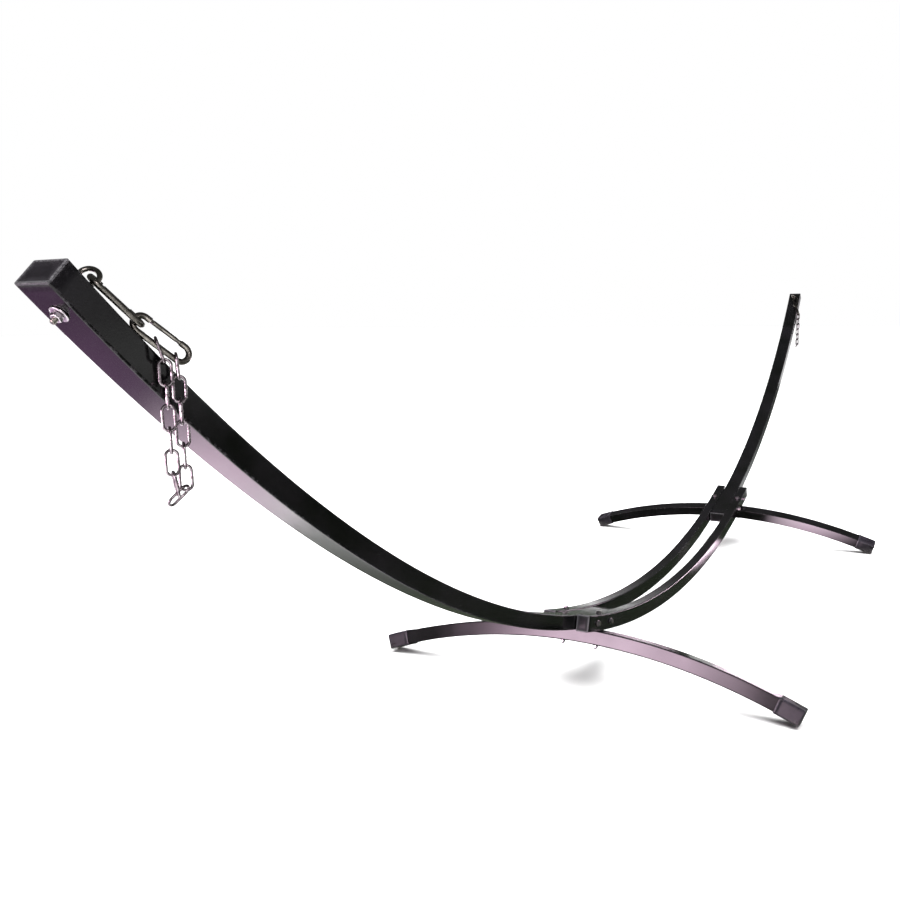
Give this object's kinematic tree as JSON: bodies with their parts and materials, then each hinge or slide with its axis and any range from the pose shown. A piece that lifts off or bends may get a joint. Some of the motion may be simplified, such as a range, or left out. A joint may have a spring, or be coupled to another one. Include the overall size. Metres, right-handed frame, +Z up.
{
  "type": "hammock stand",
  "caption": "Freestanding arc hammock stand: two curved steel tube arms on curved rails, two arched feet with sleeve caps, and an eye bolt, snap hooks and chain at each end",
  "frame": {"origin": "middle of the stand's footprint on the ground", "axes": "+X runs along the stand from the near end to the far end, +Y to the left seen from the near end, +Z up"},
  "size_m": [4.8784, 1.255, 1.1144],
  "materials": {
    "frame_paint": "glossy black powder coat over steel tube",
    "cap_plastic": "glossy dark sleeve caps, slightly scuffed",
    "plug_plastic": "dark flush end plugs",
    "bolt_zinc": "zinc plated fasteners",
    "hook_steel": "tumbled zinc plated wire, slightly dull",
    "chain_steel": "bright zinc plated welded chain"
  },
  "bodies": {
    "stand": {"arm_plugs": "plug_plastic", "cross_bolts": "bolt_zinc", "cross_nuts": "bolt_zinc", "cross_washers": "bolt_zinc", "eye_nuts": "bolt_zinc", "eye_washers": "bolt_zinc", "far_arm": "frame_paint", "far_eye_bolt": "bolt_zinc", "far_foot": "frame_paint", "far_left_foot_cap": "cap_plastic", "far_right_foot_cap": "cap_plastic", "foot_bolts": "bolt_zinc", "foot_nuts": "bolt_zinc", "foot_washers": "bolt_zinc", "left_rail": "frame_paint", "near_arm": "frame_paint", "near_eye_bolt": "bolt_zinc", "near_foot": "frame_paint", "near_left_foot_cap": "cap_plastic", "near_right_foot_cap": "cap_plastic", "rail_plugs": "plug_plastic", "right_rail": "frame_paint"},
    "near_hook1": {"near_hook1": "hook_steel"},
    "near_hook2": {"near_hook2": "hook_steel"},
    "near_link_A1": {"near_link_A1": "chain_steel"},
    "near_link_B1": {"near_link_B1": "chain_steel"},
    "near_link_A2": {"near_link_A2": "chain_steel"},
    "near_link_B2": {"near_link_B2": "chain_steel"},
    "near_link_A3": {"near_link_A3": "chain_steel"},
    "near_link_A4": {"near_link_A4": "chain_steel"},
    "near_link_A5": {"near_link_A5": "chain_steel"},
    "near_link_A6": {"near_link_A6": "chain_steel"},
    "near_link_B3": {"near_link_B3": "chain_steel"},
    "near_link_B4": {"near_link_B4": "chain_steel"},
    "near_link_B5": {"near_link_B5": "chain_steel"},
    "near_link_B6": {"near_link_B6": "chain_steel"},
    "near_link_A7": {"near_link_A7": "chain_steel"},
    "near_link_A8": {"near_link_A8": "chain_steel"},
    "near_hook1_gate": {"near_hook1_gate": "hook_steel"},
    "near_hook2_gate": {"near_hook2_gate": "hook_steel"},
    "far_hook1": {"far_hook1": "hook_steel"},
    "far_hook2": {"far_hook2": "hook_steel"},
    "far_link_A1": {"far_link_A1": "chain_steel"},
    "far_link_B1": {"far_link_B1": "chain_steel"},
    "far_link_A2": {"far_link_A2": "chain_steel"},
    "far_link_B2": {"far_link_B2": "chain_steel"},
    "far_link_A3": {"far_link_A3": "chain_steel"},
    "far_link_A4": {"far_link_A4": "chain_steel"},
    "far_link_A5": {"far_link_A5": "chain_steel"},
    "far_link_A6": {"far_link_A6": "chain_steel"},
    "far_link_B3": {"far_link_B3": "chain_steel"},
    "far_link_B4": {"far_link_B4": "chain_steel"},
    "far_link_B5": {"far_link_B5": "chain_steel"},
    "far_link_B6": {"far_link_B6": "chain_steel"},
    "far_link_A7": {"far_link_A7": "chain_steel"},
    "far_link_A8": {"far_link_A8": "chain_steel"},
    "far_hook1_gate": {"far_hook1_gate": "hook_steel"},
    "far_hook2_gate": {"far_hook2_gate": "hook_steel"}
  },
  "joints": [
    {"name": "near_hook1_lift", "type": "hinge", "parent": "stand", "child": "near_hook1", "pos_m": [-2.36245, -0.01006, 1.08688], "axis": [0, -1, 0], "range_deg": [0, 10]},
    {"name": "near_hook2_lift", "type": "hinge", "parent": "near_hook1", "child": "near_hook2", "pos_m": [-2.31198, -0.02307, 1.03861], "axis": [0, -1, 0], "range_deg": [0, 10]},
    {"name": "near_chain_lift", "type": "hinge", "parent": "near_hook2", "child": "near_link_A1", "pos_m": [-2.30152, -0.03304, 1.01296], "axis": [-0.6819, 0.3435, 0.6458], "range_deg": [0, 6]},
    {"name": "near_link_B1_turn", "type": "hinge", "parent": "near_hook2", "child": "near_link_B1", "pos_m": [-2.28106, -0.04335, 0.99359], "axis": [-0.6819, 0.3435, 0.6458], "range_deg": [0, 4.82]},
    {"name": "near_link_A2_turn", "type": "hinge", "parent": "near_link_A1", "child": "near_link_A2", "pos_m": [-2.29426, -0.03859, 0.98999], "axis": [0.6819, -0.3435, -0.6458], "range_deg": [0, 6.02]},
    {"name": "near_link_B2_turn", "type": "hinge", "parent": "near_link_B1", "child": "near_link_B2", "pos_m": [-2.27927, -0.04476, 0.96831], "axis": [0.6819, -0.3435, -0.6458], "range_deg": [0, 4.82]},
    {"name": "near_chain_sway", "type": "hinge", "parent": "near_link_A2", "child": "near_link_A3", "pos_m": [-2.29426, -0.03859, 0.96129], "axis": [-0.7848, 0.6198, 0], "range_deg": [0, 8]},
    {"name": "near_link_A4_turn", "type": "hinge", "parent": "near_link_A3", "child": "near_link_A4", "pos_m": [-2.29426, -0.03859, 0.93259], "axis": [0.6198, 0.7848, 0], "range_deg": [0, 3.22]},
    {"name": "near_link_A5_turn", "type": "hinge", "parent": "near_link_A4", "child": "near_link_A5", "pos_m": [-2.29426, -0.03859, 0.90389], "axis": [-0.7848, 0.6198, 0], "range_deg": [0, 2.42]},
    {"name": "near_link_A6_turn", "type": "hinge", "parent": "near_link_A5", "child": "near_link_A6", "pos_m": [-2.29426, -0.03859, 0.87519], "axis": [-0.6198, -0.7848, 0], "range_deg": [0, 3.22]},
    {"name": "near_link_B3_turn", "type": "hinge", "parent": "near_link_B2", "child": "near_link_B3", "pos_m": [-2.27927, -0.04476, 0.93961], "axis": [-0.7848, 0.6198, 0], "range_deg": [0, 8.02]},
    {"name": "near_link_B4_turn", "type": "hinge", "parent": "near_link_B3", "child": "near_link_B4", "pos_m": [-2.27927, -0.04476, 0.91091], "axis": [0.6198, 0.7848, 0], "range_deg": [0, 3.22]},
    {"name": "near_link_B5_turn", "type": "hinge", "parent": "near_link_B4", "child": "near_link_B5", "pos_m": [-2.27927, -0.04476, 0.88221], "axis": [-0.7848, 0.6198, 0], "range_deg": [0, 2.42]},
    {"name": "near_link_B6_turn", "type": "hinge", "parent": "near_link_B5", "child": "near_link_B6", "pos_m": [-2.27927, -0.04476, 0.85351], "axis": [-0.6198, -0.7848, 0], "range_deg": [0, 3.22]},
    {"name": "near_link_A7_turn", "type": "hinge", "parent": "near_link_A6", "child": "near_link_A7", "pos_m": [-2.29426, -0.03859, 0.84649], "axis": [0.7848, -0.6198, 0], "range_deg": [0, 10.42]},
    {"name": "near_link_A8_turn", "type": "hinge", "parent": "near_link_A7", "child": "near_link_A8", "pos_m": [-2.29015, -0.04129, 0.81867], "axis": [0.4859, -0.0229, -0.8737], "range_deg": [0, 1.13]},
    {"name": "near_hook1_gate_open", "type": "hinge", "parent": "near_hook1", "child": "near_hook1_gate", "pos_m": [-2.35132, -0.00221, 1.08722], "axis": [-0.5241, 0.542, -0.6569], "range_deg": [0, 16], "stiffness_Nm_per_rad": 0.6, "springref_deg": -17.19},
    {"name": "near_hook2_gate_open", "type": "hinge", "parent": "near_hook2", "child": "near_hook2_gate", "pos_m": [-2.30244, -0.02641, 1.04408], "axis": [0.2911, 0.9374, -0.1912], "range_deg": [0, 14], "stiffness_Nm_per_rad": 0.6, "springref_deg": -17.19},
    {"name": "far_hook1_lift", "type": "hinge", "parent": "stand", "child": "far_hook1", "pos_m": [2.36245, -0.01006, 1.08688], "axis": [0, 1, 0], "range_deg": [0, 10]},
    {"name": "far_hook2_lift", "type": "hinge", "parent": "far_hook1", "child": "far_hook2", "pos_m": [2.31198, -0.02307, 1.03861], "axis": [0, 1, 0], "range_deg": [0, 10]},
    {"name": "far_chain_lift", "type": "hinge", "parent": "far_hook2", "child": "far_link_A1", "pos_m": [2.30152, -0.03304, 1.01296], "axis": [-0.6819, -0.3435, -0.6458], "range_deg": [0, 6]},
    {"name": "far_link_B1_turn", "type": "hinge", "parent": "far_hook2", "child": "far_link_B1", "pos_m": [2.28106, -0.04335, 0.99359], "axis": [-0.6819, -0.3435, -0.6458], "range_deg": [0, 4.82]},
    {"name": "far_link_A2_turn", "type": "hinge", "parent": "far_link_A1", "child": "far_link_A2", "pos_m": [2.29426, -0.03859, 0.98999], "axis": [0.6819, 0.3435, 0.6458], "range_deg": [0, 6.02]},
    {"name": "far_link_B2_turn", "type": "hinge", "parent": "far_link_B1", "child": "far_link_B2", "pos_m": [2.27927, -0.04476, 0.96831], "axis": [0.6819, 0.3435, 0.6458], "range_deg": [0, 4.82]},
    {"name": "far_chain_sway", "type": "hinge", "parent": "far_link_A2", "child": "far_link_A3", "pos_m": [2.29426, -0.03859, 0.96129], "axis": [-0.7848, -0.6198, 0], "range_deg": [0, 8]},
    {"name": "far_link_A4_turn", "type": "hinge", "parent": "far_link_A3", "child": "far_link_A4", "pos_m": [2.29426, -0.03859, 0.93259], "axis": [0.6198, -0.7848, 0], "range_deg": [0, 3.22]},
    {"name": "far_link_A5_turn", "type": "hinge", "parent": "far_link_A4", "child": "far_link_A5", "pos_m": [2.29426, -0.03859, 0.90389], "axis": [-0.7848, -0.6198, 0], "range_deg": [0, 2.42]},
    {"name": "far_link_A6_turn", "type": "hinge", "parent": "far_link_A5", "child": "far_link_A6", "pos_m": [2.29426, -0.03859, 0.87519], "axis": [-0.6198, 0.7848, 0], "range_deg": [0, 3.22]},
    {"name": "far_link_B3_turn", "type": "hinge", "parent": "far_link_B2", "child": "far_link_B3", "pos_m": [2.27927, -0.04476, 0.93961], "axis": [-0.7848, -0.6198, 0], "range_deg": [0, 8.02]},
    {"name": "far_link_B4_turn", "type": "hinge", "parent": "far_link_B3", "child": "far_link_B4", "pos_m": [2.27927, -0.04476, 0.91091], "axis": [0.6198, -0.7848, 0], "range_deg": [0, 3.22]},
    {"name": "far_link_B5_turn", "type": "hinge", "parent": "far_link_B4", "child": "far_link_B5", "pos_m": [2.27927, -0.04476, 0.88221], "axis": [-0.7848, -0.6198, 0], "range_deg": [0, 2.42]},
    {"name": "far_link_B6_turn", "type": "hinge", "parent": "far_link_B5", "child": "far_link_B6", "pos_m": [2.27927, -0.04476, 0.85351], "axis": [-0.6198, 0.7848, 0], "range_deg": [0, 3.22]},
    {"name": "far_link_A7_turn", "type": "hinge", "parent": "far_link_A6", "child": "far_link_A7", "pos_m": [2.29426, -0.03859, 0.84649], "axis": [0.7848, 0.6198, 0], "range_deg": [0, 10.42]},
    {"name": "far_link_A8_turn", "type": "hinge", "parent": "far_link_A7", "child": "far_link_A8", "pos_m": [2.29015, -0.04129, 0.81867], "axis": [0.4859, 0.0229, 0.8737], "range_deg": [0, 1.13]},
    {"name": "far_hook1_gate_open", "type": "hinge", "parent": "far_hook1", "child": "far_hook1_gate", "pos_m": [2.35132, -0.00221, 1.08722], "axis": [-0.5241, -0.542, 0.6569], "range_deg": [0, 16], "stiffness_Nm_per_rad": 0.6, "springref_deg": -17.19},
    {"name": "far_hook2_gate_open", "type": "hinge", "parent": "far_hook2", "child": "far_hook2_gate", "pos_m": [2.30244, -0.02641, 1.04408], "axis": [0.2911, -0.9374, 0.1912], "range_deg": [0, 14], "stiffness_Nm_per_rad": 0.6, "springref_deg": -17.19}
  ],
  "couplings": [
    {"joint": "near_link_B1_turn", "follows": "near_chain_lift", "ratio": 0.8},
    {"joint": "near_link_A2_turn", "follows": "near_chain_lift", "ratio": 1},
    {"joint": "near_link_B2_turn", "follows": "near_chain_lift", "ratio": 0.8},
    {"joint": "near_link_A4_turn", "follows": "near_chain_sway", "ratio": 0.4},
    {"joint": "near_link_A5_turn", "follows": "near_chain_sway", "ratio": 0.3},
    {"joint": "near_link_A6_turn", "follows": "near_chain_sway", "ratio": 0.4},
    {"joint": "near_link_B3_turn", "follows": "near_chain_sway", "ratio": 1},
    {"joint": "near_link_B4_turn", "follows": "near_chain_sway", "ratio": 0.4},
    {"joint": "near_link_B5_turn", "follows": "near_chain_sway", "ratio": 0.3},
    {"joint": "near_link_B6_turn", "follows": "near_chain_sway", "ratio": 0.4},
    {"joint": "near_link_A7_turn", "follows": "near_chain_sway", "ratio": 1.3},
    {"joint": "near_link_A8_turn", "follows": "near_chain_lift", "ratio": 0.1851},
    {"joint": "far_link_B1_turn", "follows": "far_chain_lift", "ratio": 0.8},
    {"joint": "far_link_A2_turn", "follows": "far_chain_lift", "ratio": 1},
    {"joint": "far_link_B2_turn", "follows": "far_chain_lift", "ratio": 0.8},
    {"joint": "far_link_A4_turn", "follows": "far_chain_sway", "ratio": 0.4},
    {"joint": "far_link_A5_turn", "follows": "far_chain_sway", "ratio": 0.3},
    {"joint": "far_link_A6_turn", "follows": "far_chain_sway", "ratio": 0.4},
    {"joint": "far_link_B3_turn", "follows": "far_chain_sway", "ratio": 1},
    {"joint": "far_link_B4_turn", "follows": "far_chain_sway", "ratio": 0.4},
    {"joint": "far_link_B5_turn", "follows": "far_chain_sway", "ratio": 0.3},
    {"joint": "far_link_B6_turn", "follows": "far_chain_sway", "ratio": 0.4},
    {"joint": "far_link_A7_turn", "follows": "far_chain_sway", "ratio": 1.3},
    {"joint": "far_link_A8_turn", "follows": "far_chain_lift", "ratio": 0.1851}
  ]
}
